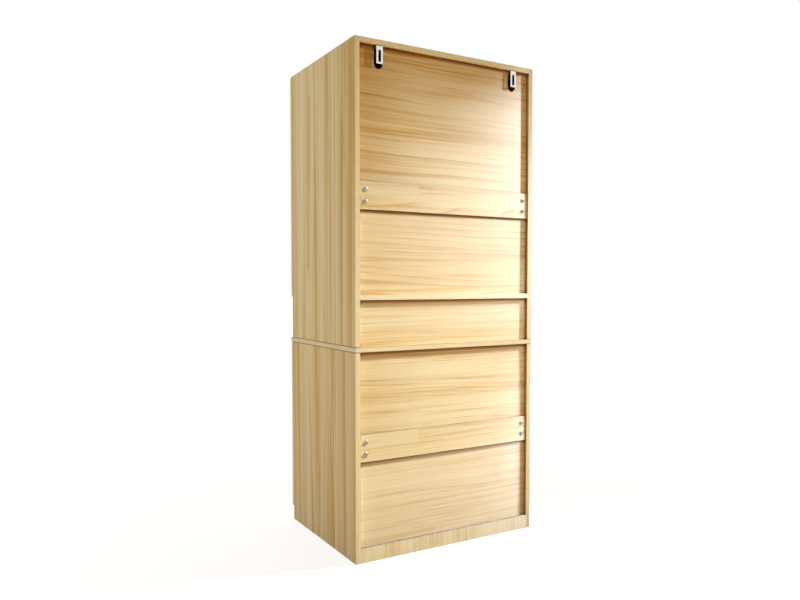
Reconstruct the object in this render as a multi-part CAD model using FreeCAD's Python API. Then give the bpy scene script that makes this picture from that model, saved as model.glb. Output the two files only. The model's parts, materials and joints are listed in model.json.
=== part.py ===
import FreeCAD
import Part
import math
import os
from FreeCAD import Vector

# Two-piece wardrobe of wood-grain boards: a lower unit with a worktop, and an upper unit that stands on it.
# X is the width (+X is the right side seen from the front), -Y is the front, +Z is up.
# The origin is under the middle of the whole, on the floor. All sizes are in millimetres.

# Overall sizes
overall_width = 770.0
overall_height = 1800.0
side_depth = 570.0
worktop_height = 750.0
niche_height = 162.0
plinth_height = 52.0
front_plinth_setback = 40.0

# Boards, and the thin back panels that slide in grooves
board = 18.0
back_thickness = 5.0
back_recess = 11.0
groove_depth = 6.0
groove_play = 0.3

# Cross rails, grooved along both edges for the back panels
rail_height = 96.0
rail_inset = 5.0
upper_rail_over_shelf = 340.0
lower_rail_over_bottom = 329.0

# Cam fasteners in the ends of the cross rails
cam_diameter = 15.0
cam_depth = 12.5
cam_head = 1.2
cam_from_end = 24.0
cam_pitch = 41.0
cam_slot_width = 2.4
cam_slot_depth = 1.6
cam_play = 0.15

# Wall brackets under the top panel, and the notches in the back panel in front of them
bracket_from_end = 77.0
bracket_width = 25.0
bracket_thickness = 2.0
bracket_drop = 63.0
bracket_leg = 62.0
bracket_bend = 3.0
bracket_slot_width = 11.0
bracket_slot_length = 41.0
bracket_slot_under_top = 36.5
notch_width = 34.0
notch_depth = 78.0

# Clothes rail: an oval tube in two open-topped end sockets
tube_height = 30.0
tube_width = 15.0
tube_wall = 1.2
tube_under_top = 62.0
tube_play = 0.3
socket_wall = 2.5
socket_length = 15.0

# Loose shelf in the lower unit, on four angle supports
shelf_over_bottom = 322.0
shelf_setback = 30.0
shelf_end_play = 1.0
shelf_back_play = 2.0
support_thickness = 2.0
support_width = 14.0
support_height = 16.0
support_reach = 14.0
support_setback = 60.0

# Doors
door_thickness = 18.0
door_gap = 2.5
door_side_reveal = 1.5
door_meeting_gap = 3.0
door_top_reveal = 1.0
door_worktop_gap = 3.0
upper_door_lift = 4.0
lower_door_lift = 1.5
door_edge_chamfer = 1.5
worktop_corner_radius = 2.0

# Bow handles
handle_length = 168.0
handle_width = 12.0
handle_bar = 7.0
handle_foot = 11.0
handle_projection = 28.0
handle_outer_radius = 12.0
handle_inner_radius = 6.0
handle_from_meeting_edge = 36.0
upper_handle_over_door_bottom = 150.0
lower_handle_under_door_top = 130.0

# Cup hinges: a cup let into the door turns on its pin, in the eye of a curved arm on the side board
hinge_from_door_end = 100.0
hinge_pin_inset = 7.5
hinge_pin_depth = 8.5
hinge_pin_diameter = 2.4
hinge_pin_play = 0.05
cup_diameter = 35.0
cup_depth = 12.5
cup_floor = 1.0
cup_from_door_edge = 3.5
cup_pocket_width = 11.0
cup_pocket_wall = 1.5
cup_pocket_length = 30.0
cup_seat_play = 0.1
cup_flange = 1.0
cup_flange_length = 58.0
cup_flange_start = 2.0
cup_flange_width = 15.0
cup_flange_corner = 6.0
neck_thickness = 2.4
neck_width = 8.0
neck_eye_diameter = 4.2
neck_tilt = 5.0
neck_reach = 13.0
neck_bend = 4.0
arm_from_front = 9.0
arm_length = 63.0
arm_width = 14.0
arm_wall = 1.6
plate_thickness = 2.0
plate_wing_span = 48.0
plate_wing_width = 22.0
plate_wing_from_front = 37.0
plate_ridge_play = 0.3
plate_ridge_end = 5.0

# Planes that the pieces share
overall_depth = side_depth + door_gap + door_thickness + handle_projection
back_y = overall_depth / 2
front_y = back_y - side_depth
door_back_y = front_y - door_gap
door_front_y = door_back_y - door_thickness
back_panel_rear_y = back_y - back_recess
back_panel_front_y = back_panel_rear_y - back_thickness
rail_back_y = back_y - rail_inset
rail_front_y = rail_back_y - board
outer_x = overall_width / 2
inner_x = outer_x - board
bracket_offset = inner_x - bracket_from_end
worktop_under = worktop_height - board
bottom_top = plinth_height + board
shelf_under = worktop_height + niche_height
shelf_top = shelf_under + board
top_under = overall_height - board
upper_rail_mid = shelf_top + upper_rail_over_shelf
lower_rail_mid = bottom_top + lower_rail_over_bottom
lower_shelf_under = bottom_top + shelf_over_bottom
tube_z = top_under - tube_under_top
tube_y = (front_y + back_panel_front_y) / 2
door_outer_x = outer_x - door_side_reveal
door_meeting_x = door_meeting_gap / 2
upper_door_bottom = shelf_under + upper_door_lift
upper_door_top = overall_height - door_top_reveal
lower_door_bottom = plinth_height + lower_door_lift
lower_door_top = worktop_under - door_worktop_gap
hinge_pin_x = door_outer_x - hinge_pin_inset
hinge_pin_y = door_back_y - hinge_pin_depth
cup_x = door_outer_x - cup_from_door_edge - cup_diameter / 2
arm_front_y = front_y + arm_from_front

# Upright spans of the thin back panels, whose edges reach into grooves
tongue = groove_depth - groove_play
upper_back_spans = {
    "niche_back_panel": (worktop_height, shelf_under + tongue),
    "upper_back_panel_bottom": (shelf_top - tongue, upper_rail_mid - rail_height / 2 + tongue),
    "upper_back_panel_top": (upper_rail_mid + rail_height / 2 - tongue, top_under + tongue),
}
lower_back_spans = {
    "lower_back_panel_bottom": (plinth_height, lower_rail_mid - rail_height / 2 + tongue),
    "lower_back_panel_top": (lower_rail_mid + rail_height / 2 - tongue, worktop_under + tongue),
}

both_sides = (-1, 1)
side_names = {-1: "left", 1: "right"}
along_x = Vector(1, 0, 0)
along_y = Vector(0, 1, 0)
along_z = Vector(0, 0, 1)


def box(x_range, y_range, z_range):
    low = Vector(min(x_range), min(y_range), min(z_range))
    size = Vector(max(x_range), max(y_range), max(z_range)) - low
    return Part.makeBox(size.x, size.y, size.z, low)


def rod(diameter, start, end):
    return Part.makeCylinder(diameter / 2, (end - start).Length, start, end - start)


def fuse(solids):
    return solids[0].multiFuse(solids[1:]).removeSplitter()


def on_side(side, solid):
    # handed pieces are drawn on the right side, and the left ones are their mirror images
    return solid if side > 0 else solid.mirror(Vector(0, 0, 0), along_x)


def cornered_face(corners, rounded=True):
    # a flat outline from corner points, each with the size of its own rounding or straight cut
    starts = []
    mids = []
    ends = []
    count = len(corners)
    for index, (point, size) in enumerate(corners):
        to_last = (corners[index - 1][0] - point).normalize()
        to_next = (corners[(index + 1) % count][0] - point).normalize()
        half_angle = to_last.getAngle(to_next) / 2
        inward = (to_last + to_next).normalize()
        reach = size / math.tan(half_angle)
        starts.append(point + to_last * reach)
        mids.append(point + inward * (size / math.sin(half_angle) - size))
        ends.append(point + to_next * reach)
    edges = []
    for index, (point, size) in enumerate(corners):
        if size > 0 and rounded:
            edges.append(Part.Arc(starts[index], mids[index], ends[index]).toShape())
        elif size > 0:
            edges.append(Part.LineSegment(starts[index], ends[index]).toShape())
        edges.append(Part.LineSegment(ends[index], starts[(index + 1) % count]).toShape())
    return Part.Face(Part.Wire(edges))


def oval_face(x, height, width):
    # an upright oval with straight flanks, across the clothes rail
    flank = along_z * ((height - width) / 2)
    side_step = along_y * (width / 2)
    end_step = along_z * (width / 2)
    middle = Vector(x, tube_y, tube_z)
    low = middle - flank
    high = middle + flank
    edges = [
        Part.LineSegment(low + side_step, high + side_step).toShape(),
        Part.Arc(high + side_step, high + end_step, high - side_step).toShape(),
        Part.LineSegment(high - side_step, low - side_step).toShape(),
        Part.Arc(low - side_step, low - end_step, low + side_step).toShape(),
    ]
    return Part.Face(Part.Wire(edges))


def back_groove(x_range, z_range):
    half_play = groove_play / 2
    return box(x_range, (back_panel_front_y - half_play, back_panel_rear_y + half_play), z_range)


def back_panel(span):
    reach = inner_x + tongue
    return box((-reach, reach), (back_panel_front_y, back_panel_rear_y), span)


def notched_back_panel(span):
    # round-ended notches, open at the top edge, let the wall brackets' legs through
    radius = notch_width / 2
    round_z = top_under - notch_depth + radius
    tools = []
    for side in both_sides:
        middle_x = side * bracket_offset
        front = Vector(middle_x, back_panel_front_y, round_z)
        back = Vector(middle_x, back_panel_rear_y, round_z)
        tools.append(rod(notch_width, front, back))
        tools.append(box((middle_x - radius, middle_x + radius), (front.y, back.y), (round_z, span[1])))
    return back_panel(span).cut(tools)


def side_board(side, z_range, back_spans):
    blank = box((side * inner_x, side * outer_x), (front_y, back_y), z_range)
    groove_x = (side * inner_x, side * (inner_x + groove_depth))
    return blank.cut([
        back_groove(groove_x, (low_z - groove_play, high_z + groove_play))
        for low_z, high_z in back_spans.values()
    ])


def top_panel():
    blank = box((-inner_x, inner_x), (front_y, back_y), (top_under, overall_height))
    return blank.cut(back_groove((-inner_x, inner_x), (top_under, top_under + groove_depth)))


def fixed_shelf():
    blank = box((-inner_x, inner_x), (front_y, back_y), (shelf_under, shelf_top))
    return blank.cut([
        back_groove((-inner_x, inner_x), (shelf_top - groove_depth, shelf_top)),
        back_groove((-inner_x, inner_x), (shelf_under, shelf_under + groove_depth)),
    ])


def worktop():
    outline = cornered_face([
        (Vector(-outer_x, back_y, worktop_under), 0),
        (Vector(outer_x, back_y, worktop_under), 0),
        (Vector(outer_x, door_front_y, worktop_under), worktop_corner_radius),
        (Vector(-outer_x, door_front_y, worktop_under), worktop_corner_radius),
    ])
    reach = inner_x + groove_depth
    groove = back_groove((-reach, reach), (worktop_under, worktop_under + groove_depth))
    return outline.extrude(along_z * board).cut(groove)


def bottom_panel():
    return box((-inner_x, inner_x), (front_y, back_panel_front_y), (plinth_height, bottom_top))


def plinth(rear_y):
    return box((-inner_x, inner_x), (rear_y - board, rear_y), (0, plinth_height))


def cam_places(rail_mid):
    # two cams at each end of a cross rail, in its rear face
    return [
        Vector(side * (inner_x - cam_from_end), rail_back_y, rail_mid + step)
        for side in both_sides
        for step in (-cam_pitch / 2, cam_pitch / 2)
    ]


def cross_rail(rail_mid):
    low_z = rail_mid - rail_height / 2
    high_z = rail_mid + rail_height / 2
    tools = [
        back_groove((-inner_x, inner_x), (low_z, low_z + groove_depth)),
        back_groove((-inner_x, inner_x), (high_z - groove_depth, high_z)),
    ]
    for mouth in cam_places(rail_mid):
        floor = mouth - along_y * (cam_depth + cam_play)
        tools.append(rod(cam_diameter + 2 * cam_play, mouth, floor))
    return box((-inner_x, inner_x), (rail_front_y, rail_back_y), (low_z, high_z)).cut(tools)


def rail_cam(mouth):
    face = mouth + along_y * cam_head
    half_slot = cam_slot_width / 2
    radius = cam_diameter / 2
    slot = box(
        (mouth.x - radius, mouth.x + radius),
        (face.y - cam_slot_depth, face.y),
        (mouth.z - half_slot, mouth.z + half_slot),
    )
    return rod(cam_diameter, mouth - along_y * cam_depth, face).cut(slot)


def wall_bracket(side):
    # a bent angle: one leg under the top panel, one slotted leg in line with the rear edges
    middle_x = side * bracket_offset
    low_x = middle_x - bracket_width / 2
    foot_z = top_under - bracket_drop
    tip_y = back_y - bracket_leg
    inner_y = back_y - bracket_thickness
    inner_z = top_under - bracket_thickness
    profile = cornered_face([
        (Vector(low_x, back_y, top_under), bracket_bend + bracket_thickness),
        (Vector(low_x, back_y, foot_z), 0),
        (Vector(low_x, inner_y, foot_z), 0),
        (Vector(low_x, inner_y, inner_z), bracket_bend),
        (Vector(low_x, tip_y, inner_z), 0),
        (Vector(low_x, tip_y, top_under), 0),
    ])
    slot_z = top_under - bracket_slot_under_top
    straight = (bracket_slot_length - bracket_slot_width) / 2
    half_width = bracket_slot_width / 2
    slot_ends = (slot_z - straight, slot_z + straight)
    tools = [box((middle_x - half_width, middle_x + half_width), (inner_y, back_y), slot_ends)]
    for z in slot_ends:
        tools.append(rod(bracket_slot_width, Vector(middle_x, inner_y, z), Vector(middle_x, back_y, z)))
    return profile.extrude(along_x * bracket_width).cut(tools)


def clothes_tube():
    reach = inner_x - socket_wall
    length = along_x * (2 * reach)
    outside = oval_face(-reach, tube_height, tube_width).extrude(length)
    inside = oval_face(-reach, tube_height - 2 * tube_wall, tube_width - 2 * tube_wall).extrude(length)
    return outside.cut(inside)


def trough_face(x, width):
    # an upright trough with a round bottom, as high as the tube's straight flanks
    flank = along_z * ((tube_height - tube_width) / 2)
    side_step = along_y * (width / 2)
    middle = Vector(x, tube_y, tube_z)
    low = middle - flank
    high = middle + flank
    edges = [
        Part.LineSegment(high + side_step, high - side_step).toShape(),
        Part.LineSegment(high - side_step, low - side_step).toShape(),
        Part.Arc(low - side_step, low - along_z * (width / 2), low + side_step).toShape(),
        Part.LineSegment(low + side_step, high + side_step).toShape(),
    ]
    return Part.Face(Part.Wire(edges))


def rail_socket():
    # the tube drops into an open-topped cradle on the side board, whose lower corners are cut off straight
    trough = tube_width + 2 * tube_play
    half_width = trough / 2 + socket_wall
    flank = (tube_height - tube_width) / 2
    low_z = tube_z - flank - half_width
    high_z = tube_z + flank
    corner_cut = (2 - math.sqrt(2)) * half_width
    body = cornered_face([
        (Vector(inner_x, tube_y - half_width, high_z), 0),
        (Vector(inner_x, tube_y + half_width, high_z), 0),
        (Vector(inner_x, tube_y + half_width, low_z), corner_cut),
        (Vector(inner_x, tube_y - half_width, low_z), corner_cut),
    ], rounded=False).extrude(along_x * -socket_length)
    hollow = trough_face(inner_x - socket_wall, trough).extrude(along_x * (socket_wall - socket_length))
    return body.cut(hollow)


def lower_shelf():
    reach = inner_x - shelf_end_play
    y_range = (front_y + shelf_setback, rail_front_y - shelf_back_play)
    return box((-reach, reach), y_range, (lower_shelf_under, lower_shelf_under + board))


def shelf_supports():
    # right-hand supports, one near each end of the shelf's side edge
    inner_face_x = inner_x - support_thickness
    tip_x = inner_x - support_reach
    leg_z = lower_shelf_under - support_thickness
    foot_z = lower_shelf_under - support_height
    first_y = front_y + shelf_setback + support_setback
    last_y = rail_front_y - shelf_back_play - support_setback
    supports = []
    for middle_y in (first_y, last_y):
        y = middle_y - support_width / 2
        profile = cornered_face([
            (Vector(inner_x, y, lower_shelf_under), 0),
            (Vector(inner_x, y, foot_z), 0),
            (Vector(inner_face_x, y, foot_z), 0),
            (Vector(inner_face_x, y, leg_z), 0),
            (Vector(tip_x, y, leg_z), 0),
            (Vector(tip_x, y, lower_shelf_under), 0),
        ])
        supports.append(profile.extrude(along_y * support_width))
    return supports


def hinge_heights(low_z, high_z):
    return (low_z + hinge_from_door_end, high_z - hinge_from_door_end)


def door(low_z, high_z):
    # a right-hand leaf with eased upright edges, bored for its hinge cups
    outline = cornered_face([
        (Vector(door_meeting_x, door_back_y, low_z), door_edge_chamfer),
        (Vector(door_outer_x, door_back_y, low_z), door_edge_chamfer),
        (Vector(door_outer_x, door_front_y, low_z), door_edge_chamfer),
        (Vector(door_meeting_x, door_front_y, low_z), door_edge_chamfer),
    ], rounded=False)
    bores = []
    for z in hinge_heights(low_z, high_z):
        mouth = Vector(cup_x, door_back_y, z)
        floor = mouth - along_y * (cup_depth + cup_seat_play)
        bores.append(rod(cup_diameter + 2 * cup_seat_play, mouth, floor))
    return outline.extrude(along_z * (high_z - low_z)).cut(bores)


def bow_handle(middle_z):
    x = door_meeting_x + handle_from_meeting_edge
    tip_y = door_front_y - handle_projection
    inner_y = tip_y + handle_bar
    half = handle_length / 2
    half_inside = half - handle_foot
    profile = cornered_face([
        (Vector(x, door_front_y, middle_z - half), 0),
        (Vector(x, tip_y, middle_z - half), handle_outer_radius),
        (Vector(x, tip_y, middle_z + half), handle_outer_radius),
        (Vector(x, door_front_y, middle_z + half), 0),
        (Vector(x, door_front_y, middle_z + half_inside), 0),
        (Vector(x, inner_y, middle_z + half_inside), handle_inner_radius),
        (Vector(x, inner_y, middle_z - half_inside), handle_inner_radius),
        (Vector(x, door_front_y, middle_z - half_inside), 0),
    ])
    return profile.extrude(along_x * handle_width)


def hinge_cup(z):
    # a cast cup with a straight pocket that the pin crosses, and a flange on the door's inner face
    mouth = Vector(cup_x, door_back_y, z)
    barrel = rod(cup_diameter, mouth, mouth - along_y * cup_depth)
    flange_x = cup_x - cup_flange_start
    flange_tip_x = flange_x - cup_flange_width
    half_flange = cup_flange_length / 2
    flange = cornered_face([
        (Vector(flange_x, door_back_y, z - half_flange), 0),
        (Vector(flange_x, door_back_y, z + half_flange), 0),
        (Vector(flange_tip_x, door_back_y, z + half_flange), cup_flange_corner),
        (Vector(flange_tip_x, door_back_y, z - half_flange), cup_flange_corner),
    ], rounded=False).extrude(along_y * cup_flange)
    pocket_x = door_outer_x - cup_from_door_edge - cup_pocket_wall
    half_pocket = cup_pocket_width / 2
    pocket = box(
        (pocket_x - cup_pocket_length, pocket_x),
        (door_back_y - cup_depth + cup_floor, door_back_y + cup_flange),
        (z - half_pocket, z + half_pocket),
    )
    half_pin = along_z * (half_pocket + hinge_pin_diameter / 2)
    axis_point = Vector(hinge_pin_x, hinge_pin_y, z)
    pin = rod(hinge_pin_diameter, axis_point - half_pin, axis_point + half_pin)
    return fuse([fuse([barrel, flange]).cut(pocket), pin])


def arm_neck(z):
    # the curved strip that reaches from the arm into the cup and ends in the eye round the pin
    low_z = z - neck_width / 2
    tilt = math.radians(neck_tilt)
    half = neck_thickness / 2
    pin = Vector(hinge_pin_x, hinge_pin_y, low_z)
    inboard = Vector(-1, 0, 0)
    along = Vector(-math.cos(tilt), -math.sin(tilt), 0)
    deeper = Vector(math.sin(tilt), -math.cos(tilt), 0)
    middle = (deeper + inboard).normalize()
    bend_start = pin + along * neck_reach
    centre = bend_start - deeper * neck_bend
    outer = neck_bend + half
    inner = neck_bend - half
    outer_foot = Vector(centre.x - outer, arm_front_y, low_z)
    inner_foot = Vector(centre.x - inner, arm_front_y, low_z)
    edges = [
        Part.LineSegment(pin + deeper * half, bend_start + deeper * half).toShape(),
        Part.Arc(bend_start + deeper * half, centre + middle * outer, centre + inboard * outer).toShape(),
        Part.LineSegment(centre + inboard * outer, outer_foot).toShape(),
        Part.LineSegment(outer_foot, inner_foot).toShape(),
        Part.LineSegment(inner_foot, centre + inboard * inner).toShape(),
        Part.Arc(centre + inboard * inner, centre + middle * inner, bend_start - deeper * half).toShape(),
        Part.LineSegment(bend_start - deeper * half, pin - deeper * half).toShape(),
        Part.LineSegment(pin - deeper * half, pin + deeper * half).toShape(),
    ]
    width = along_z * neck_width
    strip = Part.Face(Part.Wire(edges)).extrude(width)
    eye = rod(neck_eye_diameter, pin, pin + width)
    return fuse([strip, eye]).cut(rod(hinge_pin_diameter + 2 * hinge_pin_play, pin, pin + width))


def arm_top_x(z):
    # the inboard face of the arm runs on from the neck
    return arm_neck(z).BoundBox.XMin


def hinge_arm(z):
    half = arm_width / 2
    top_x = arm_top_x(z)
    seat_x = inner_x - plate_thickness
    rear_y = arm_front_y + arm_length
    channel = box((top_x, seat_x), (arm_front_y, rear_y), (z - half, z + half))
    hollow = box(
        (top_x + arm_wall, seat_x),
        (arm_front_y + arm_wall, rear_y),
        (z - half + arm_wall, z + half - arm_wall),
    )
    return fuse([channel.cut(hollow), arm_neck(z)])


def hinge_plate(z):
    # wings on the side board, and a ridge that the arm straddles
    middle_y = front_y + plate_wing_from_front
    half_width = plate_wing_width / 2
    half_span = plate_wing_span / 2
    wings = box(
        (inner_x - plate_thickness, inner_x),
        (middle_y - half_width, middle_y + half_width),
        (z - half_span, z + half_span),
    )
    half_ridge = arm_width / 2 - arm_wall - plate_ridge_play
    ridge = box(
        (arm_top_x(z) + arm_wall + plate_ridge_play, inner_x),
        (arm_front_y + arm_wall + plate_ridge_end, arm_front_y + arm_length - plate_ridge_end),
        (z - half_ridge, z + half_ridge),
    )
    return fuse([wings, ridge])


def carcass_nodes():
    supports = shelf_supports()
    nodes = {
        "top_panel": top_panel(),
        "fixed_shelf": fixed_shelf(),
        "worktop": worktop(),
        "bottom_panel": bottom_panel(),
        "front_plinth": plinth(front_y + front_plinth_setback + board),
        "back_plinth": plinth(back_y),
        "upper_back_rail": cross_rail(upper_rail_mid),
        "lower_back_rail": cross_rail(lower_rail_mid),
        "upper_rail_cams": [rail_cam(mouth) for mouth in cam_places(upper_rail_mid)],
        "lower_rail_cams": [rail_cam(mouth) for mouth in cam_places(lower_rail_mid)],
        "lower_shelf": lower_shelf(),
        "shelf_supports": [on_side(side, support) for side in both_sides for support in supports],
        "clothes_rail": clothes_tube(),
    }
    for name, span in {**upper_back_spans, **lower_back_spans}.items():
        nodes[name] = notched_back_panel(span) if name == "upper_back_panel_top" else back_panel(span)
    for side in both_sides:
        name = side_names[side]
        nodes["upper_side_" + name] = side_board(side, (worktop_height, overall_height), upper_back_spans)
        nodes["lower_side_" + name] = side_board(side, (0, worktop_under), lower_back_spans)
        nodes["wall_bracket_" + name] = wall_bracket(side)
        nodes["rail_socket_" + name] = on_side(side, rail_socket())
    return nodes


def door_nodes():
    levels = {
        "upper": (upper_door_bottom, upper_door_top, upper_door_bottom + upper_handle_over_door_bottom),
        "lower": (lower_door_bottom, lower_door_top, lower_door_top - lower_handle_under_door_top),
    }
    nodes = {"hinge_arms": [], "hinge_plates": []}
    for level, (low_z, high_z, handle_z) in levels.items():
        heights = hinge_heights(low_z, high_z)
        for side in both_sides:
            name = level + "_" + side_names[side]
            nodes[name + "_door"] = on_side(side, door(low_z, high_z))
            nodes[name + "_handle"] = on_side(side, bow_handle(handle_z))
            nodes[name + "_hinge_cups"] = [on_side(side, hinge_cup(z)) for z in heights]
            nodes["hinge_arms"] += [on_side(side, hinge_arm(z)) for z in heights]
            nodes["hinge_plates"] += [on_side(side, hinge_plate(z)) for z in heights]
    return nodes


def write_nodes(nodes):
    os.makedirs("parts", exist_ok=True)
    for name, made in nodes.items():
        solids = made if isinstance(made, list) else [made]
        shape = solids[0] if len(solids) == 1 else Part.makeCompound(solids)
        shape.exportStep("parts/" + name + ".step")
        litres = round(shape.Volume / 1e6, 4)
        print(name, len(shape.Solids), "solids,", litres, "litres, valid", shape.isValid())


write_nodes({**carcass_nodes(), **door_nodes()})
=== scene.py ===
import bpy
import bmesh
import json
import math
from mathutils import Matrix, Vector


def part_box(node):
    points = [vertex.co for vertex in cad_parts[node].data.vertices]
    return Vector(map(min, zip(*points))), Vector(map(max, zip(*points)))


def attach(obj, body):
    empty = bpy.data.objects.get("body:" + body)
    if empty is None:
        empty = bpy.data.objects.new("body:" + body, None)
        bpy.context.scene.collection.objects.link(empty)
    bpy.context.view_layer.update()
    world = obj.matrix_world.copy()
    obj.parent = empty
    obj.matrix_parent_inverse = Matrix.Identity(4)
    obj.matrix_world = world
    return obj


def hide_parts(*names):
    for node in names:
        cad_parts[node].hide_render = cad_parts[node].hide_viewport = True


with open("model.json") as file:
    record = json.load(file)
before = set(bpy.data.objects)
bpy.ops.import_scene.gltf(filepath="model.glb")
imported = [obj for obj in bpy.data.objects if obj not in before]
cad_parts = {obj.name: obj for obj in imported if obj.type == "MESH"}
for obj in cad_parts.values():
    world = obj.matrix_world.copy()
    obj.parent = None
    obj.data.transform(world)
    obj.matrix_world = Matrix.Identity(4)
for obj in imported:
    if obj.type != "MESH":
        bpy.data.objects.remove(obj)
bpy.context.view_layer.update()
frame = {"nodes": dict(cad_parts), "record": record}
nodes = frame["nodes"]
scene = bpy.context.scene

# planes that boards and fasteners share, in metres; the left side mirrors the right one
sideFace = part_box("upper_side_right")[0].x         # inner face of a side board
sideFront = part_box("upper_side_right")[0].y
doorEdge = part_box("upper_right_door")[1].x         # outer edge, beside the hinges
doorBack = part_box("upper_right_door")[1].y
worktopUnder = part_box("worktop")[0].z
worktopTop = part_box("worktop")[1].z
bothSides = (-1, 1)
levels = ("upper", "lower")


def tone(red, green, blue):
    # a screen colour, 0 to 255, as the linear colour that the shader wants
    def linear(value):
        value = value / 255
        return value / 12.92 if value <= 0.04045 else ((value + 0.055) / 1.055) ** 2.4
    return (linear(red), linear(green), linear(blue), 1.0)


# small helpers for node trees

def newNode(tree, kind, **settings):
    node = tree.nodes.new("ShaderNode" + kind)
    for key, value in settings.items():
        setattr(node, key, value)
    return node


def plug(tree, socket, value):
    # a socket takes another socket or a plain value
    if isinstance(value, bpy.types.NodeSocket):
        tree.links.new(value, socket)
    else:
        socket.default_value = value


def calc(tree, operation, first, second=0.0, clamp=False):
    node = newNode(tree, "Math", operation=operation, use_clamp=clamp)
    plug(tree, node.inputs[0], first)
    plug(tree, node.inputs[1], second)
    return node.outputs[0]


def plus(tree, first, second):
    return calc(tree, "ADD", first, second)


def times(tree, first, second):
    return calc(tree, "MULTIPLY", first, second)


def swing(tree, value, reach):
    # how far a noise value lies from one half, its middle, times the reach
    return times(tree, calc(tree, "SUBTRACT", value, 0.5), reach)


def vectorCalc(tree, operation, first, second):
    node = newNode(tree, "VectorMath", operation=operation)
    plug(tree, node.inputs[0], first)
    plug(tree, node.inputs[1], second)
    return node.outputs[0]


def splitAxes(tree, vector):
    node = newNode(tree, "SeparateXYZ")
    plug(tree, node.inputs[0], vector)
    return node.outputs


def joinAxes(tree, *values):
    node = newNode(tree, "CombineXYZ")
    for socket, value in zip(node.inputs, values):
        plug(tree, socket, value)
    return node.outputs[0]


def mixColor(tree, factor, first, second, mode="MIX"):
    node = newNode(tree, "Mix", data_type="RGBA", blend_type=mode)
    plug(tree, node.inputs[0], factor)
    plug(tree, node.inputs[6], first)        # the colour sockets come after those for numbers and vectors
    plug(tree, node.inputs[7], second)
    return node.outputs[2]


def remap(tree, value, low, high, toLow=0.0, toHigh=1.0, smooth=True):
    node = newNode(tree, "MapRange", interpolation_type="SMOOTHSTEP" if smooth else "LINEAR")
    for socket, given in zip(node.inputs, (value, low, high, toLow, toHigh)):
        plug(tree, socket, given)
    return node.outputs[0]


def noise(tree, place, stretch, detail=2.0, roughness=0.5, distortion=0.0):
    node = newNode(tree, "TexNoise")
    plug(tree, node.inputs["Vector"], vectorCalc(tree, "MULTIPLY", place, stretch))
    node.inputs["Scale"].default_value = 1.0
    node.inputs["Detail"].default_value = detail
    node.inputs["Roughness"].default_value = roughness
    node.inputs["Distortion"].default_value = distortion
    return node.outputs[0]


def startGroup(name, inputs, outputs):
    tree = bpy.data.node_groups.new(name, "ShaderNodeTree")
    for label, kind, value in inputs:
        socket = tree.interface.new_socket(name=label, in_out="INPUT", socket_type="NodeSocket" + kind)
        socket.default_value = value
    for label, kind in outputs:
        tree.interface.new_socket(name=label, in_out="OUTPUT", socket_type="NodeSocket" + kind)
    return tree, tree.nodes.new("NodeGroupInput").outputs, tree.nodes.new("NodeGroupOutput").inputs


def useGroup(tree, group, **values):
    node = newNode(tree, "Group", node_tree=group)
    for label, value in values.items():
        plug(tree, node.inputs[label], value)
    return node.outputs


# printed wood grain: place runs along the grain, then across it, then through the board

grainLook = {
    "seedStep": (3.7, 1.9, 2.3),
    "sway": dict(stretch=(1.3, 3.0, 3.0), detail=1.0),
    "swayReach": 0.035,                                                    # metres
    "broad": dict(stretch=(0.7, 12, 12), detail=2.0, roughness=0.5),       # wide soft bands
    "streak": dict(stretch=(0.9, 50, 50), detail=4.0, roughness=0.70),     # about two centimetres apart
    "fibre": dict(stretch=(2.2, 160, 160), detail=2.0, roughness=0.6),     # fine lines
    "ringField": dict(stretch=(0.6, 5.5, 5.5), detail=1.0, roughness=0.4),
    "ringBend": 8.0,
    "ringsInMetre": 38.0,
    "ringSharpness": 3.0,
    "ringPatch": dict(stretch=(1.3, 16, 16), detail=1.0),                  # where the rings show
    "ringPatchSpan": (0.38, 0.62),
    "ringShare": 0.9,
    "streakShare": 2.4,
    "fibreShare": 2.0,
    "warmth": 0.33,
    "warmSpan": (-0.15, 1.05),
    "veinFibre": 0.5,
    "veinSpan": (0.55, 1.05),
    "veinShare": 0.55,
    "dullSpan": (0.6, 1.4),
    "dull": (0.43, 0.57),
    "fibreHeight": 0.7,
    "streakHeight": 0.3,
}


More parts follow.
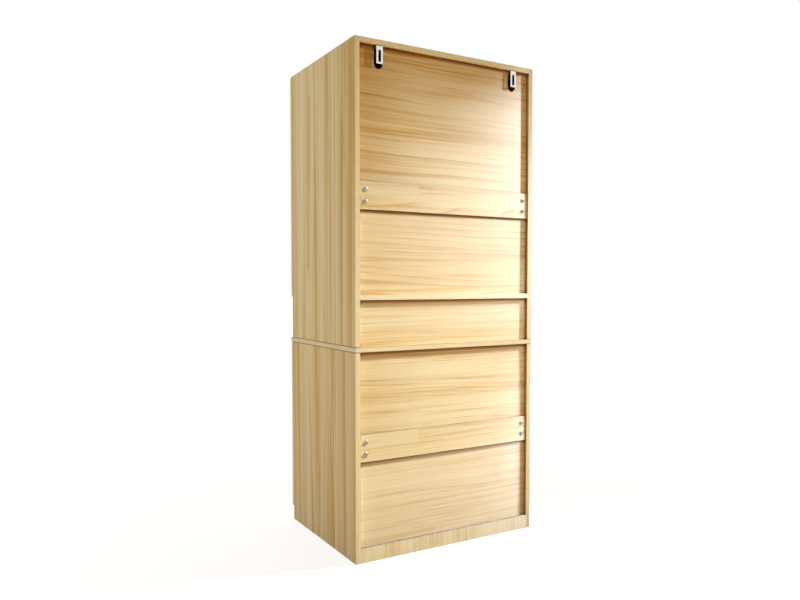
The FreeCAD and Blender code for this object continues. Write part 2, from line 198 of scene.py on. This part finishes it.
def makeWoodGrain(look):
    tree, given, out = startGroup(
        "woodGrain",
        [("Place", "Vector", (0, 0, 0)), ("Seed", "Float", 0.0), ("Streak", "Float", 1.0),
         ("Band", "Float", 2.4), ("Pale", "Color", (0.8, 0.65, 0.4, 1)),
         ("Warm", "Color", (0.6, 0.4, 0.2, 1)), ("Dark", "Color", (0.4, 0.25, 0.1, 1))],
        [("Color", "Color"), ("Roughness", "Float"), ("Height", "Float")])
    shift = newNode(tree, "VectorMath", operation="SCALE")
    shift.inputs[0].default_value = look["seedStep"]
    plug(tree, shift.inputs["Scale"], given["Seed"])
    place = vectorCalc(tree, "ADD", given["Place"], shift.outputs[0])
    # the lines wander a little across the board
    sway = swing(tree, noise(tree, place, **look["sway"]), look["swayReach"])
    place = vectorCalc(tree, "ADD", place, joinAxes(tree, 0.0, sway, 0.0))
    broad = noise(tree, place, **look["broad"])
    streak = noise(tree, place, **look["streak"])
    fibre = noise(tree, place, **look["fibre"])
    # growth rings: each darkens slowly and ends at a sharp line
    field = times(tree, noise(tree, place, **look["ringField"]), look["ringBend"])
    field = plus(tree, field, times(tree, splitAxes(tree, place)["Y"], look["ringsInMetre"]))
    ring = calc(tree, "POWER", calc(tree, "FRACT", field), look["ringSharpness"])
    patch = remap(tree, noise(tree, place, **look["ringPatch"]), *look["ringPatchSpan"])
    lift = swing(tree, broad, given["Band"])
    lift = plus(tree, lift, swing(tree, streak, look["streakShare"]))
    lift = plus(tree, lift, times(tree, times(tree, ring, patch), look["ringShare"]))
    lift = plus(tree, lift, swing(tree, fibre, look["fibreShare"]))
    warmth = plus(tree, times(tree, lift, given["Streak"]), look["warmth"])
    warmth = remap(tree, warmth, *look["warmSpan"], smooth=False)
    color = mixColor(tree, warmth, given["Pale"], given["Warm"])
    vein = remap(tree, plus(tree, lift, times(tree, fibre, look["veinFibre"])), *look["veinSpan"])
    color = mixColor(tree, times(tree, vein, look["veinShare"]), color, given["Dark"])
    dull = remap(tree, plus(tree, fibre, broad), *look["dullSpan"], *look["dull"], smooth=False)
    height = plus(tree, times(tree, fibre, look["fibreHeight"]), times(tree, streak, look["streakHeight"]))
    plug(tree, out["Color"], color)
    plug(tree, out["Roughness"], dull)
    plug(tree, out["Height"], height)
    return tree


# softened edges: a mask that is 1 on an edge, for wear on metal and for the dark line along board edges, and
# the rounded normal

softEdgeLook = {"samples": 6, "wearAndShadeSpan": (0.99, 0.80)}


def makeSoftEdge(look):
    tree, given, out = startGroup(
        "softEdge", [("Radius", "Float", 0.001)], [("WearAndShade", "Float"), ("Normal", "Vector")])
    bevel = newNode(tree, "Bevel", samples=look["samples"])
    plug(tree, bevel.inputs["Radius"], given["Radius"])
    facing = newNode(tree, "VectorMath", operation="DOT_PRODUCT")
    plug(tree, facing.inputs[0], bevel.outputs[0])
    plug(tree, facing.inputs[1], newNode(tree, "NewGeometry").outputs["Normal"])
    plug(tree, out["WearAndShade"], remap(tree, facing.outputs["Value"], *look["wearAndShadeSpan"]))
    plug(tree, out["Normal"], bevel.outputs[0])
    return tree


# painted shade: dark lines in the inner corners where two boards meet, a little weaker on faces that look up

creaseLook = {
    "samples": 8,
    "tilt": (0, 0, 0.9),
    "openSpan": (0.84, 0.38),
    "upwardSpan": (0.8, 0.4),
    "upwardShare": (0.85, 1.0),
}


def makeCreaseShade(look):
    tree, given, out = startGroup("creaseShade", [("Reach", "Float", 0.006)], [("Mask", "Float")])
    normal = newNode(tree, "NewGeometry").outputs["Normal"]
    hollow = newNode(tree, "AmbientOcclusion", samples=look["samples"])
    plug(tree, hollow.inputs["Distance"], given["Reach"])
    # tilted up, so a corner under a board counts and a ledge below does not
    plug(tree, hollow.inputs["Normal"], vectorCalc(tree, "ADD", normal, look["tilt"]))
    mask = remap(tree, hollow.outputs["AO"], *look["openSpan"])
    upward = remap(tree, splitAxes(tree, normal)["Z"], *look["upwardSpan"], *look["upwardShare"])
    plug(tree, out["Mask"], times(tree, mask, upward))
    return tree


# drawn or cast metal: fine lines along one direction, and smudges

skinLook = {
    "lines": dict(detail=3.0, roughness=0.6),
    "smudge": dict(stretch=(38, 38, 38), detail=3.0, roughness=0.6, distortion=0.4),
    "speck": dict(stretch=(420, 420, 420), detail=1.0),
    "lineShade": 0.22,
    "smudgeShade": 0.16,
    "level": 0.80,
    "speckHeight": 0.4,
}


def makeMetalSkin(look):
    tree, given, out = startGroup(
        "metalSkin",
        [("Place", "Vector", (0, 0, 0)), ("Lines", "Vector", (100, 100, 100)), ("Seed", "Float", 0.0),
         ("Tint", "Color", (0.7, 0.7, 0.7, 1)), ("Dull", "Float", 0.3), ("Spread", "Float", 0.1)],
        [("Color", "Color"), ("Roughness", "Float"), ("Height", "Float")])
    place = vectorCalc(tree, "ADD", given["Place"], given["Seed"])
    lines = noise(tree, place, given["Lines"], **look["lines"])
    smudge = noise(tree, place, **look["smudge"])
    speck = noise(tree, place, **look["speck"])
    shade = plus(tree, times(tree, lines, look["lineShade"]), times(tree, smudge, look["smudgeShade"]))
    shade = plus(tree, shade, look["level"])
    dull = times(tree, plus(tree, lines, smudge), given["Spread"])
    plug(tree, out["Color"], mixColor(tree, 1.0, given["Tint"], shade, "MULTIPLY"))
    plug(tree, out["Roughness"], plus(tree, dull, given["Dull"]))
    plug(tree, out["Height"], plus(tree, lines, times(tree, speck, look["speckHeight"])))
    return tree


woodGrain = makeWoodGrain(grainLook)
softEdge = makeSoftEdge(softEdgeLook)
creaseShade = makeCreaseShade(creaseLook)
metalSkin = makeMetalSkin(skinLook)
print("shader groups:", len(bpy.data.node_groups))


def startMaterial(name):
    material = bpy.data.materials.new(name)
    material.use_nodes = True
    tree = material.node_tree
    return material, tree, tree.nodes["Principled BSDF"].inputs


def bump(tree, height, strength, distance, normal=None):
    node = newNode(tree, "Bump")
    node.inputs["Strength"].default_value = strength
    node.inputs["Distance"].default_value = distance
    plug(tree, node.inputs["Height"], height)
    if normal:
        plug(tree, node.inputs["Normal"], normal)
    return node.outputs[0]


def dress(node, material):
    for slot in nodes[node].material_slots:
        slot.material = material


# wood-grain boards; along is the axis of the grain, face the one that the broad faces look along

woodLook = {
    "pale": tone(249, 233, 183),
    "warm": tone(227, 193, 117),
    "dark": tone(212, 173, 93),
    "band": {"x": 2.4, "z": 4.4},         # strength of the wide bands
    "drawnOut": 0.35,
    "edgeBandAndSheen": tone(250, 238, 194),
    "edgeSpan": (0.6, 0.4),
    "edgeRadius": 0.0016,
    # dark line at joints, and along board edges, where it is partly the edge band's glue line and partly
    # painted shade of the rounded edge
    "seam": tone(114, 76, 38),
    "seamShare": 0.3,
    "jointShare": 0.65,
    "jointSpan": (0.0026, 0.0010),        # metres from the joint
    # painted shade in the inner corners: its colour, strength and reach
    "crease": tone(140, 84, 38),
    "creaseShare": 0.85,
    "creaseReach": 0.018,
    "gloss": 0.15,
    "relief": 0.25,
    "reliefDepth": 0.0004,
    "firstSeed": 0.5,
    "seedStep": 1.37,
}


def printAndPaintedLight(tree, color, x, z, stave, drift, fade):
    # what the print adds to the plain grain of some boards, and painted shade and painted sheen on some of
    # them
    if stave:
        # a paler stave at one end
        inside = times(tree, calc(tree, "GREATER_THAN", x, stave["fromX"]),
                       calc(tree, "GREATER_THAN", z, stave["fromZ"]))
        color = mixColor(tree, times(tree, inside, stave["share"]), color, woodLook["pale"])
    if drift:
        # painted shade: a darker tone that grows towards one end, and upwards where z is given, where less
        # light falls
        reach = remap(tree, x, *drift["x"])
        if "z" in drift:
            reach = plus(tree, reach, remap(tree, z, *drift["z"]))
        reach = calc(tree, "MULTIPLY", reach, drift["share"], clamp=True)
        color = mixColor(tree, reach, color, drift["color"], "MULTIPLY")
    # painted sheen: the whole board paler, towards cream
    if fade:
        color = mixColor(tree, fade["share"], color, fade["color"])
    return color


def makeBoard(name, seed, along, face, streak=1.0, stave=None, drift=None, fade=None, raw=None,
              edgeShare=0.8, mattFace=False, joints=(), crease=True):
    look = woodLook
    material, tree, shader = startMaterial(name)
    coords = newNode(tree, "TexCoord").outputs
    x, y, z = splitAxes(tree, coords["Object"])
    if along == "x":
        place = joinAxes(tree, x, z, y)
    else:
        # upright boards have a straighter figure, drawn out along the grain
        place = joinAxes(tree, times(tree, z, look["drawnOut"]), x, y)
    grain = useGroup(tree, woodGrain, Place=place, Seed=seed, Streak=streak, Band=look["band"][along],
                     Pale=look["pale"], Warm=look["warm"], Dark=look["dark"])
    color = printAndPaintedLight(tree, grain["Color"], x, z, stave, drift, fade)
    dull = grain["Roughness"]
    # 0 on the broad faces and 1 on the edges, which are cut raw or have a pale band; the pale band is partly
    # the edge band's colour and partly painted sheen
    flat = calc(tree, "ABSOLUTE", splitAxes(tree, coords["Normal"])[face.upper()])
    onEdge = remap(tree, flat, *look["edgeSpan"])
    if raw:
        color = mixColor(tree, onEdge, color, raw)
        dull = calc(tree, "MAXIMUM", dull, onEdge)
    else:
        color = mixColor(tree, times(tree, onEdge, edgeShare), color, look["edgeBandAndSheen"])
    if mattFace:
        # no sheen on the broad faces
        dull = calc(tree, "MAXIMUM", dull, calc(tree, "SUBTRACT", 1.0, onEdge))
    # dark line along every board edge: partly the edge band's glue line, partly painted shade of the rounded
    # edge
    glueLineAndShade = useGroup(tree, softEdge, Radius=look["edgeRadius"])["WearAndShade"]
    color = mixColor(tree, times(tree, glueLineAndShade, look["seamShare"]), color, look["seam"])
    for height in joints:
        # a flush joint with another board shows as a dark line
        away = calc(tree, "ABSOLUTE", calc(tree, "SUBTRACT", z, height))
        line = remap(tree, away, *look["jointSpan"])
        if face == "z":
            line = times(tree, line, onEdge)
        color = mixColor(tree, times(tree, line, look["jointShare"]), color, look["seam"])
    # painted shade in the inner corners, from how close other surfaces are
    if crease:
        hollow = useGroup(tree, creaseShade, Reach=look["creaseReach"])["Mask"]
        dull = calc(tree, "MAXIMUM", dull, hollow)
        color = mixColor(tree, times(tree, hollow, look["creaseShare"]), color, look["crease"], "MULTIPLY")
    plug(tree, shader["Base Color"], color)
    plug(tree, shader["Roughness"], dull)
    plug(tree, shader["Normal"], bump(tree, grain["Height"], look["relief"], look["reliefDepth"]))
    shader["Specular IOR Level"].default_value = look["gloss"]
    return material


staveLook = {"fromX": 0.128, "belowMiddle": 0.002, "share": 0.55}


def railStave(rail):
    # one end of a cross rail, from just below its middle to its upper edge
    low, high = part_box(rail)
    return dict(staveLook, fromZ=(low.z + high.z) / 2 - staveLook["belowMiddle"])


# edges that are cut raw, and what boards of one kind share; the raw edge of rails and plinth is dark enough
# to stand also as painted shade along their top ledges
cutEdgeAndShade = tone(92, 64, 36)
panelCut = tone(150, 112, 72)
rightSide = dict(along="z", face="x", streak=0.75)
# the far rear edges take the full pale band, partly as painted sheen
leftSide = dict(rightSide, edgeShare=1.0, mattFace=True)
flatBoard = dict(along="x", face="z")
door = dict(along="z", face="y", streak=0.85, crease=False)
plinth = dict(along="z", face="y")
crossRail = dict(along="x", face="y", raw=cutEdgeAndShade)
thinPanel = dict(along="x", face="y", raw=panelCut)
boards = {
    "upper_side_left": dict(leftSide, joints=(worktopTop,)),
    "upper_side_right": dict(rightSide, joints=(worktopTop,)),
    "lower_side_left": dict(leftSide, joints=(worktopUnder,)),
    "lower_side_right": dict(rightSide, joints=(worktopUnder,)),
    "top_panel": flatBoard,
    "fixed_shelf": flatBoard,
    "worktop": dict(flatBoard, joints=(worktopUnder, worktopTop)),
    "bottom_panel": flatBoard,
    "lower_shelf": flatBoard,
    "front_plinth": plinth,
    # painted sheen pales the back plinth
    "back_plinth": dict(plinth, raw=cutEdgeAndShade, fade=dict(share=0.4, color=tone(255, 246, 206))),
    "upper_back_rail": dict(crossRail, stave=railStave("upper_back_rail")),
    "lower_back_rail": dict(crossRail, stave=railStave("lower_back_rail")),
    "upper_left_door": door,
    "upper_right_door": door,
    "lower_left_door": door,
    "lower_right_door": door,
    "niche_back_panel": thinPanel,
    "upper_back_panel_bottom": dict(thinPanel, streak=0.9),
    # painted shade darkens this panel towards its +x end and its top
    "upper_back_panel_top": dict(
        thinPanel, streak=1.35,
        drift=dict(x=(0.08, 0.40), z=(1.46, 1.84), share=0.5, color=tone(206, 172, 112))),
    # painted sheen pales this panel
    "lower_back_panel_bottom": dict(
        thinPanel, streak=0.9, fade=dict(share=0.25, color=tone(253, 242, 210))),
    # painted shade darkens this panel towards its +x end
    "lower_back_panel_top": dict(
        thinPanel, streak=1.1, drift=dict(x=(0.05, 0.38), share=0.4, color=tone(225, 205, 165))),
}
for index, (node, look) in enumerate(boards.items()):
    seed = woodLook["seedStep"] * index + woodLook["firstSeed"]
    dress(node, makeBoard("board_" + node, seed, **look))
print("boards dressed:", len(boards))


# metals; lines gives the stretch of the drawn lines along each axis

metalLook = {"edgeRadius": 0.0004, "wornShare": 0.6, "reliefDepth": 0.0002}


def makeMetal(name, tint, lines, seed, dull, spread, relief=0.12, worn=None):
    look = metalLook
    material, tree, shader = startMaterial(name)
    coords = newNode(tree, "TexCoord").outputs
    skin = useGroup(tree, metalSkin, Place=coords["Object"], Lines=lines, Seed=seed,
                    Tint=tint, Dull=dull, Spread=spread)
    edge = useGroup(tree, softEdge, Radius=look["edgeRadius"])
    color = skin["Color"]
    if worn:
        color = mixColor(tree, times(tree, edge["WearAndShade"], look["wornShare"]), color, worn)
    plug(tree, shader["Base Color"], color)
    plug(tree, shader["Roughness"], skin["Roughness"])
    plug(tree, shader["Normal"], bump(tree, skin["Height"], relief, look["reliefDepth"], edge["Normal"]))
    shader["Metallic"].default_value = 1.0
    return material


metals = {
    "handle_metal": makeMetal("brushedAluminium", tint=tone(214, 214, 216), lines=(900, 900, 14),
                              seed=0.3, dull=0.22, spread=0.12),
    "hinge_metal": makeMetal("nickelPlate", tint=tone(216, 213, 207), lines=(160, 160, 160),
                             seed=1.1, dull=0.16, spread=0.14),
    "cam_metal": makeMetal("zincCast", tint=tone(166, 160, 150), lines=(300, 300, 300),
                           seed=2.2, dull=0.26, spread=0.14, relief=0.2),
    "bracket_metal": makeMetal("paleZincPlate", tint=tone(214, 214, 211), lines=(520, 520, 520),
                               seed=3.4, dull=0.24, spread=0.10, worn=tone(196, 196, 195)),
    "tube_metal": makeMetal("chromeTube", tint=tone(226, 226, 229), lines=(14, 700, 700),
                            seed=4.6, dull=0.05, spread=0.09),
}
for row in frame["record"]["subparts"]:
    if row["material_slot"] in metals:
        dress(row["node"], metals[row["material_slot"]])
print("metals:", len(metals))


# fastener heads: turned from a profile, with a tapered cross recess

# sizes in metres; a profile runs from the middle of the underside to the middle of the top
heads = {
    "panHead": {
        "profile": [(0, -0.0003), (0.0033, -0.0003), (0.0033, 0.0006), (0.0031, 0.0011), (0.0025, 0.0015),
                    (0.0014, 0.00175), (0, 0.0018)],
        "reach": 0.0017, "slot": 0.0009, "top": 0.0018, "floor": 0.0005},
    "flatHead": {
        "profile": [(0, -0.0003), (0.0030, -0.0003), (0.0030, 0.0003), (0.0027, 0.0006), (0, 0.0008)],
        "reach": 0.0017, "slot": 0.0009, "top": 0.0008, "floor": -0.0001},
    "camHead": {
        "profile": [(0, -0.0125), (0.0070, -0.0125), (0.0075, -0.0120), (0.0075, 0.0002), (0.0078, 0.0003),
                    (0.0078, 0.0008), (0.0074, 0.0018), (0.0062, 0.0027), (0.0040, 0.0033), (0, 0.0036)],
        "reach": 0.0046, "slot": 0.0024, "top": 0.0036, "floor": -0.0030},
    "camFace": {
        "profile": [(0, -0.0004), (0.0075, -0.0004), (0.0075, 0.0002), (0.0071, 0.0005), (0, 0.0006)],
        "reach": 0.0040, "slot": 0.0015, "top": 0.0006, "floor": -0.0001},
}
headMaking = {"steps": 28, "weld": 1e-6, "taper": 0.7, "cutterRise": 0.001, "sharpAngle": 35}


def objectFrom(name, bm):
    mesh = bpy.data.meshes.new(name)
    bm.to_mesh(mesh)
    bm.free()
    piece = bpy.data.objects.new(name, mesh)
    scene.collection.objects.link(piece)
    return piece


def turned(name, profile):
    bm = bmesh.new()
    points = [bm.verts.new((radius, 0, height)) for radius, height in profile]
    edges = [bm.edges.new(pair) for pair in zip(points, points[1:])]
    bmesh.ops.spin(bm, geom=points + edges, cent=(0, 0, 0), axis=(0, 0, 1), angle=2 * math.pi,
                   steps=headMaking["steps"])
    bmesh.ops.remove_doubles(bm, verts=bm.verts, dist=headMaking["weld"])
    bmesh.ops.recalc_face_normals(bm, faces=bm.faces)
    return objectFrom(name, bm)


def crossCutter(name, reach, width, top, floor):
    bm = bmesh.new()
    half = width / 2
    outline = []
    arm = [(reach, -half), (reach, half), (half, half)]
    for quarter in range(4):
        outline += arm
        arm = [(-y, x) for x, y in arm]        # the next arm, a quarter turn on
    taper = headMaking["taper"]
    upper = [bm.verts.new((x, y, top)) for x, y in outline]
    lower = [bm.verts.new((x * taper, y * taper, floor)) for x, y in outline]
    bm.faces.new(upper)
    bm.faces.new(lower[::-1])
    for index in range(len(outline)):
        after = (index + 1) % len(outline)
        bm.faces.new((upper[index], lower[index], lower[after], upper[after]))
    bmesh.ops.recalc_face_normals(bm, faces=bm.faces)
    return objectFrom(name, bm)


def headMesh(name, look):
    body = turned(name, look["profile"])
    cutter = crossCutter(name + "Cutter", look["reach"], look["slot"],
                         look["top"] + headMaking["cutterRise"], look["floor"])
    cut = body.modifiers.new("recess", "BOOLEAN")
    cut.object = cutter
    cut.operation = "DIFFERENCE"
    cut.solver = "EXACT"
    mesh = bpy.data.meshes.new_from_object(body.evaluated_get(bpy.context.evaluated_depsgraph_get()))
    for spare in (body, cutter):
        bpy.data.objects.remove(spare)
    mesh.shade_smooth()
    mesh.set_sharp_from_angle(angle=math.radians(headMaking["sharpAngle"]))
    return mesh


headMeshes = {name: headMesh(name, look) for name, look in heads.items()}


def seat(point, axis, turn):
    # stands a head on a face, with its recess turned
    facing = Vector(axis).to_track_quat("Z", "Y").to_matrix().to_4x4()
    return Matrix.Translation(Vector(point)) @ facing @ Matrix.Rotation(math.radians(turn), 4, "Z")


def setHeads(name, head, places, body, slot):
    bm = bmesh.new()
    for place in places:
        copy = headMeshes[head].copy()
        copy.transform(place)
        bm.from_mesh(copy)
        bpy.data.meshes.remove(copy)
    piece = objectFrom(name, bm)
    piece.data.materials.append(metals[slot])
    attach(piece, body)
    return piece


rearward = (0, 1, 0)
downward = (0, 0, -1)

# cams in the rear faces of the cross rails
railCams = {"radius": 0.0075, "firstTurn": 20, "turnStep": 31}
for level in levels:
    low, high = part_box(level + "_rail_cams")
    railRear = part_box(level + "_back_rail")[1].y
    places = []
    for side in bothSides:
        for z in (low.z + railCams["radius"], high.z - railCams["radius"]):
            turn = railCams["firstTurn"] + railCams["turnStep"] * len(places)
            places.append(seat((side * (high.x - railCams["radius"]), railRear, z), rearward, turn))
    cams = setHeads(level + "_rail_cam_heads", "camHead", places, "cabinet", "cam_metal")
    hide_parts(level + "_rail_cams")

# cam faces under the top and the fixed shelf, and inside the lower sides under the worktop
boardCams = {"fromEnd": 0.024, "rows": (-0.190, 0.235), "firstTurn": 15, "turnStep": 47,
             "shelfTurn": 20, "sideTurn": 50}
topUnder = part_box("top_panel")[0].z
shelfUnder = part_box("fixed_shelf")[0].z
sideCamZ = worktopUnder - boardCams["fromEnd"]
places = []
for side in bothSides:
    camX = side * (sideFace - boardCams["fromEnd"])
    for y in boardCams["rows"]:
        turn = boardCams["firstTurn"] + boardCams["turnStep"] * len(places)
        places.append(seat((camX, y, topUnder), downward, turn))
        places.append(seat((camX, y, shelfUnder), downward, turn + boardCams["shelfTurn"]))
        places.append(seat((side * sideFace, y, sideCamZ), (-side, 0, 0), turn + boardCams["sideTurn"]))
setHeads("board_cam_faces", "camFace", places, "cabinet", "cam_metal")

# screws of the hinge plates, arms and cups, and of the handles
hinges = {"cupHalf": 0.029, "cupFromEdge": 0.0305, "cupReach": 0.023, "cupTurn": 30,
          "plateThick": 0.002, "plateFromFront": 0.037, "plateReach": 0.017, "firstTurn": 23, "turnStep": 41,
          "armStand": 0.00953, "armFromFront": (0.02975, 0.06175), "armFirstTurn": 12, "armTurnStep": 29}
handles = {"footHalf": 0.0055, "turns": (15, 65)}
plateHeads = []
armHeads = []
for level in levels:
    for side, hand in zip(bothSides, ("left", "right")):
        leaf = level + "_" + hand
        low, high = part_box(leaf + "_hinge_cups")
        plateX = side * (sideFace - hinges["plateThick"])
        plateY = sideFront + hinges["plateFromFront"]
        armX = side * (sideFace - hinges["armStand"])
        cupX = side * (doorEdge - hinges["cupFromEdge"])
        cupHeads = []
        for z in (low.z + hinges["cupHalf"], high.z - hinges["cupHalf"]):
            for step in (-1, 1):
                turn = hinges["firstTurn"] + hinges["turnStep"] * (len(cupHeads) + len(plateHeads))
                plateZ = z + step * hinges["plateReach"]
                plateHeads.append(seat((plateX, plateY, plateZ), (-side, 0, 0), turn))
                cupZ = z + step * hinges["cupReach"]
                cupHeads.append(seat((cupX, high.y, cupZ), rearward, turn + hinges["cupTurn"]))
            for reach in hinges["armFromFront"]:
                turn = hinges["armFirstTurn"] + hinges["armTurnStep"] * len(armHeads)
                armHeads.append(seat((armX, sideFront + reach, z), (-side, 0, 0), turn))
        setHeads(leaf + "_cup_screws", "panHead", cupHeads, leaf + "_leaf", "hinge_metal")
        low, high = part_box(leaf + "_handle")
        handleX = (low.x + high.x) / 2
        feet = (low.z + handles["footHalf"], high.z - handles["footHalf"])
        grips = [seat((handleX, doorBack, z), rearward, turn) for z, turn in zip(feet, handles["turns"])]
        setHeads(leaf + "_handle_screws", "panHead", grips, leaf + "_leaf", "handle_metal")
setHeads("hinge_plate_screws", "panHead", plateHeads, "cabinet", "hinge_metal")
setHeads("hinge_arm_screws", "flatHead", armHeads, "cabinet", "hinge_metal")

shelfScrews = {"thick": 0.002, "halfWidth": 0.007, "fromFoot": 0.0065, "turn": 35, "sideTurn": 50}
low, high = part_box("shelf_supports")
places = []
for side in bothSides:
    screwX = side * (sideFace - shelfScrews["thick"])
    turn = shelfScrews["turn"] + shelfScrews["sideTurn"] * side
    for y in (low.y + shelfScrews["halfWidth"], high.y - shelfScrews["halfWidth"]):
        places.append(seat((screwX, y, low.z + shelfScrews["fromFoot"]), (-side, 0, 0), turn))
setHeads("shelf_support_screws", "flatHead", places, "cabinet", "hinge_metal")

bracketScrews = {"thick": 0.002, "fromFront": (0.01025, 0.03175), "firstTurn": 10, "turnInMetre": 300}
places = []
for hand in ("left", "right"):
    low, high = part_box("wall_bracket_" + hand)
    screwX = (low.x + high.x) / 2
    for reach in bracketScrews["fromFront"]:
        y = low.y + reach
        turn = bracketScrews["firstTurn"] + bracketScrews["turnInMetre"] * y
        places.append(seat((screwX, y, high.z - bracketScrews["thick"]), downward, turn))
setHeads("bracket_screws", "panHead", places, "cabinet", "hinge_metal")
print("fastener heads set")


# floor, light and camera

def seesBackground(tree):
    # 1 for the camera, and for what mirrors or lets through the background
    seen = newNode(tree, "LightPath").outputs
    plain = calc(tree, "MAXIMUM", seen["Is Camera Ray"], seen["Is Glossy Ray"])
    return calc(tree, "MAXIMUM", plain, seen["Is Transmission Ray"])


floorLook = {
    "size": 30,
    "base": (0.212, 0.154, 0.095, 1),
    "dull": 0.9,
    "glow": (0.985, 0.99, 1, 1),
    "nearSpan": (0.7, 2.2),               # metres from the frame's origin
    "nearLevel": (0.89, 1.0),
}


def makeFloor(look):
    material, tree, shader = startMaterial("paleFloor")
    shader["Base Color"].default_value = look["base"]
    shader["Roughness"].default_value = look["dull"]
    shader["Specular IOR Level"].default_value = 0.0
    # white away from the object; close to it the floor shows the shadow
    away = newNode(tree, "VectorMath", operation="LENGTH")
    plug(tree, away.inputs[0], newNode(tree, "TexCoord").outputs["Object"])
    level = remap(tree, away.outputs["Value"], *look["nearSpan"], *look["nearLevel"])
    shader["Emission Color"].default_value = look["glow"]
    plug(tree, shader["Emission Strength"], times(tree, seesBackground(tree), level))
    bm = bmesh.new()
    bmesh.ops.create_grid(bm, x_segments=1, y_segments=1, size=look["size"])
    floor = objectFrom("floor", bm)
    floor.data.materials.append(material)


def makeWorld(level, warmth):
    # the object takes soft warm light from all round; the camera and the metals see plain white
    world = bpy.data.worlds.new("studio")
    scene.world = world
    world.use_nodes = True
    tree = world.node_tree
    back = tree.nodes["Background"].inputs
    plain = seesBackground(tree)
    plug(tree, back["Color"], mixColor(tree, plain, warmth, (1, 1, 1, 1)))
    plug(tree, back["Strength"], remap(tree, plain, 0.0, 1.0, level, 1.0, smooth=False))


def addLamp(name, kind, place, target, power, color=(1, 1, 1), **settings):
    lamp = bpy.data.lights.new(name, kind)
    lamp.energy = power
    lamp.color = color
    for key, value in settings.items():
        setattr(lamp, key, value)
    holder = bpy.data.objects.new(name, lamp)
    holder.location = place
    holder.rotation_euler = (Vector(target) - Vector(place)).to_track_quat("-Z", "Y").to_euler()
    scene.collection.objects.link(holder)
    return holder


def addCamera(place, turn, lens, shift):
    data = bpy.data.cameras.new("photoCamera")
    data.sensor_fit = "HORIZONTAL"
    data.sensor_width = 36.0
    data.lens = lens
    data.shift_x, data.shift_y = shift
    holder = bpy.data.objects.new("photoCamera", data)
    holder.location = place
    holder.rotation_euler = [math.radians(angle) for angle in turn]
    scene.collection.objects.link(holder)
    scene.camera = holder


makeFloor(floorLook)
makeWorld(level=0.18, warmth=(1.0, 0.62, 0.35, 1))
addLamp("keySpot", "SPOT", place=(-2.90, 1.15, 2.95), target=(-1.033, 2.979, 1.476), power=8300,
        color=(0.93, 1.0, 1.045), spot_size=math.radians(115.9), spot_blend=1.0, shadow_soft_size=0.07)

# sheen on the boards of the back and on the far rear edges
glossBoards = {
    "backBoards": [node for node in boards if "back" in node] + ["fixed_shelf", "top_panel"],
    "rearEdges": ["upper_side_left", "lower_side_left", "worktop"],
}
glossLamps = {
    "glossHigh": dict(place=(-3.40, 1.45, 3.00), target=(-1.714, 0.061, 0.985), power=1560,
                      spread=56.1, on="backBoards"),
    "glossLow": dict(place=(-2.00, 1.10, 0.20), target=(-2.345, -1.554, -1.156), power=2950,
                     spread=163.4, on="backBoards"),
    "glossMid": dict(place=(-1.56, 1.85, 0.95), target=(-0.45, 0.30, 0.92), power=2.2,
                     spread=32.0, on="backBoards"),
    "glossEdge": dict(place=(-1.67, 1.84, 1.35), target=(-0.376, 0.309, 1.10), power=115,
                      spread=160.0, on="rearEdges"),
}
glossSize = 0.15
glossSets = {}
for name, members in glossBoards.items():
    glossSets[name] = bpy.data.collections.new(name)
    for node in members:
        glossSets[name].objects.link(nodes[node])
for name, look in glossLamps.items():
    lamp = addLamp(name, "AREA", look["place"], look["target"], look["power"],
                   shape="DISK", size=glossSize, spread=math.radians(look["spread"]))
    lamp.visible_diffuse = False
    lamp.visible_camera = False
    lamp.light_linking.receiver_collection = glossSets[look["on"]]

softboxes = {
    "sideSoftbox": dict(place=(3.2, -1.1, 1.5), target=(0.38, -0.05, 0.9), power=41,
                        color=(0.97, 1.0, 1.05), size=1.6, size_y=2.2),
    "leftSoftbox": dict(place=(-3.4, -1.3, 1.5), target=(-0.38, -0.15, 0.9), power=26, size=1.6, size_y=2.2),
    "frontSoftbox": dict(place=(-1.5, -3.2, 2.1), target=(0, -0.3, 0.9), power=78, size=2.2, size_y=2.2),
    "topSoftbox": dict(place=(-0.3, -0.9, 3.6), target=(0, -0.1, 1.8), power=44, size=1.4, size_y=1.4),
}
for name, look in softboxes.items():
    addLamp(name, "AREA", shape="RECTANGLE", **look)

addCamera(place=(1.4773, 2.4987, 0.9683), turn=(87.705, 0, 149.591), lens=32.373, shift=(-0.00546, 0.01565))
scene.view_settings.view_transform = "Standard"
print("stage, light and camera ready")
